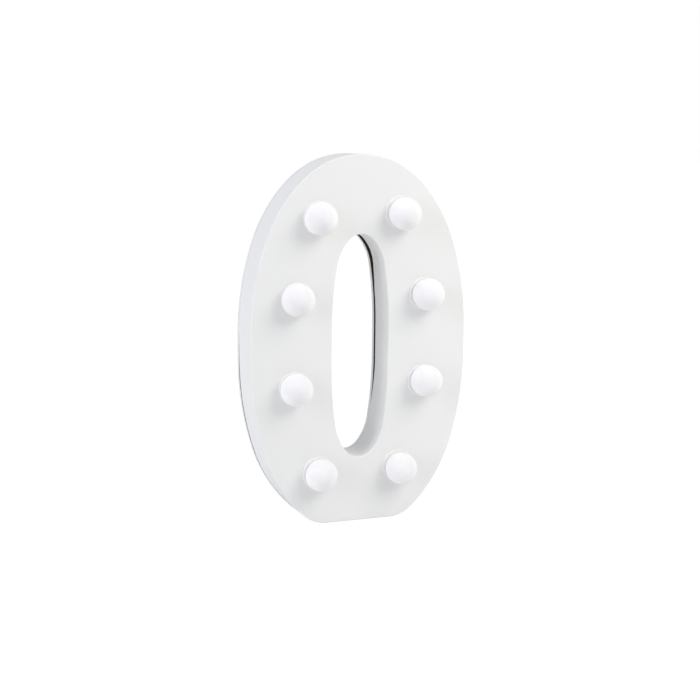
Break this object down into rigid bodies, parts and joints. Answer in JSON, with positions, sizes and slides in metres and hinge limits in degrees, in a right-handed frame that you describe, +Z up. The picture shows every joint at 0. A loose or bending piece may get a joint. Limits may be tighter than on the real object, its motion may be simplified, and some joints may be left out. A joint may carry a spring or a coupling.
{
  "type": "light-up letter lamp",
  "caption": "Free-standing oval light-up letter: white two-part casing with a counter, globe bulbs in ringed sockets on its face, battery bay with tilting door and slide switch behind.",
  "frame": {"origin": "on the surface that the letter stands on, midway across its flat foot and midway between its face and its back", "axes": "+X to the right seen from the front, +Y from the face to the back, +Z up"},
  "size_m": [0.137, 0.0411, 0.22],
  "materials": {
    "shell": "satin moulded ABS, slightly cool white",
    "globe": "frosted blown plastic, slightly translucent",
    "socket": "translucent cream plastic bush",
    "led": "diffused warm white epoxy",
    "red_insulation": "soft PVC insulation",
    "black_insulation": "soft PVC insulation",
    "cell": "film-wrapped can with bare ends",
    "contact": "nickel-plated spring steel",
    "switch_can": "pressed tin-plated steel",
    "knob": "fine-textured black plastic",
    "screw": "zinc-plated steel",
    "resistor": null
  },
  "bodies": {
    "letter": {"back_cover": "shell", "black_lead": "black_insulation", "black_wire": "black_insulation", "bridge_contact": "contact", "bulb_globe_1": "globe", "bulb_globe_2": "globe", "bulb_globe_3": "globe", "bulb_globe_4": "globe", "bulb_globe_5": "globe", "bulb_globe_6": "globe", "bulb_globe_7": "globe", "bulb_globe_8": "globe", "bulb_socket_1": "socket", "bulb_socket_2": "socket", "bulb_socket_3": "socket", "bulb_socket_4": "socket", "bulb_socket_5": "socket", "bulb_socket_6": "socket", "bulb_socket_7": "socket", "bulb_socket_8": "socket", "cell_1": "cell", "cell_2": "cell", "cover_screws": "screw", "front_shell": "shell", "led_1": "led", "led_2": "led", "led_3": "led", "led_4": "led", "led_5": "led", "led_6": "led", "led_7": "led", "led_8": "led", "left_spring": "contact", "negative_contact": "contact", "positive_contact": "contact", "red_lead": "red_insulation", "red_wire": "red_insulation", "resistor": "resistor", "right_spring": "contact", "switch_body": "switch_can", "switch_screws": "screw"},
    "door": {"battery_door": "shell"},
    "knob": {"switch_knob": "knob"}
  },
  "joints": [
    {"name": "door_tilt", "type": "hinge", "parent": "letter", "child": "door", "pos_m": [0.04333, 0.01305, 0.0763], "axis": [-1, 0, 0], "range_deg": [0, 75]},
    {"name": "switch_slide", "type": "slide", "parent": "letter", "child": "knob", "axis": [1, 0, 0], "range_m": [0, 0.003]}
  ]
}
